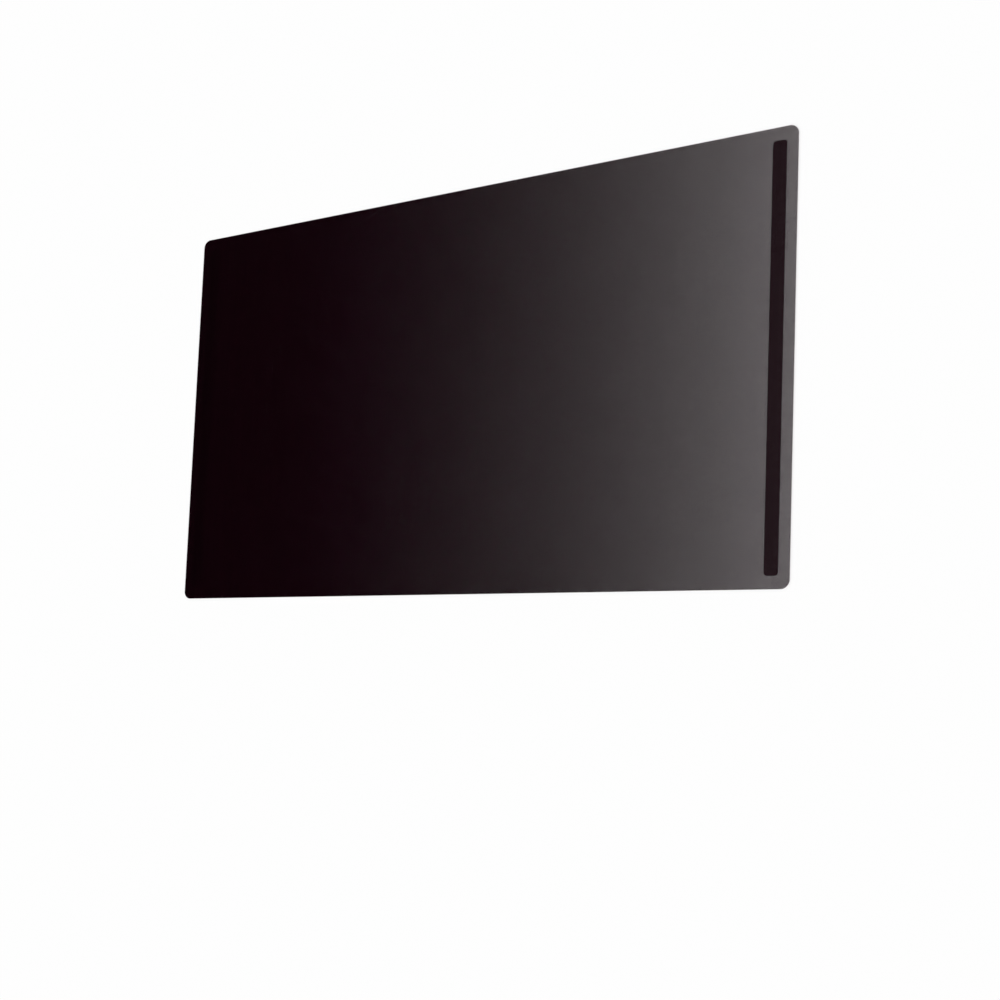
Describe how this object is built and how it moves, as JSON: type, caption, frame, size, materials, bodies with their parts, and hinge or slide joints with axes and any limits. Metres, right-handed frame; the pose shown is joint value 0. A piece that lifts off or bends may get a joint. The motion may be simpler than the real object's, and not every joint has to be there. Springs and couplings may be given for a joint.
{
  "type": "privacy filter",
  "caption": "Thin dark louvre film with rounded corners and flat mounting strips along its side edges, which shuts off the side view of a desktop screen.",
  "frame": {"origin": "centre of the filter's outline, on the plane of the mounting strips' back faces that it lies on", "axes": "+X along the film's width towards its right edge, +Y towards its top edge, +Z out of its front face"},
  "size_m": [0.5314, 0.299, 0.0011],
  "materials": {
    "louvre_film": "smoke-black polyester louvre film with a fine anti-glare face, see-through from straight in front",
    "mounting_strip": "matte dark grey flexible strip"
  },
  "bodies": {
    "root": {"privacy_film": "louvre_film", "left_mounting_strip": "mounting_strip", "right_mounting_strip": "mounting_strip"}
  },
  "joints": []
}
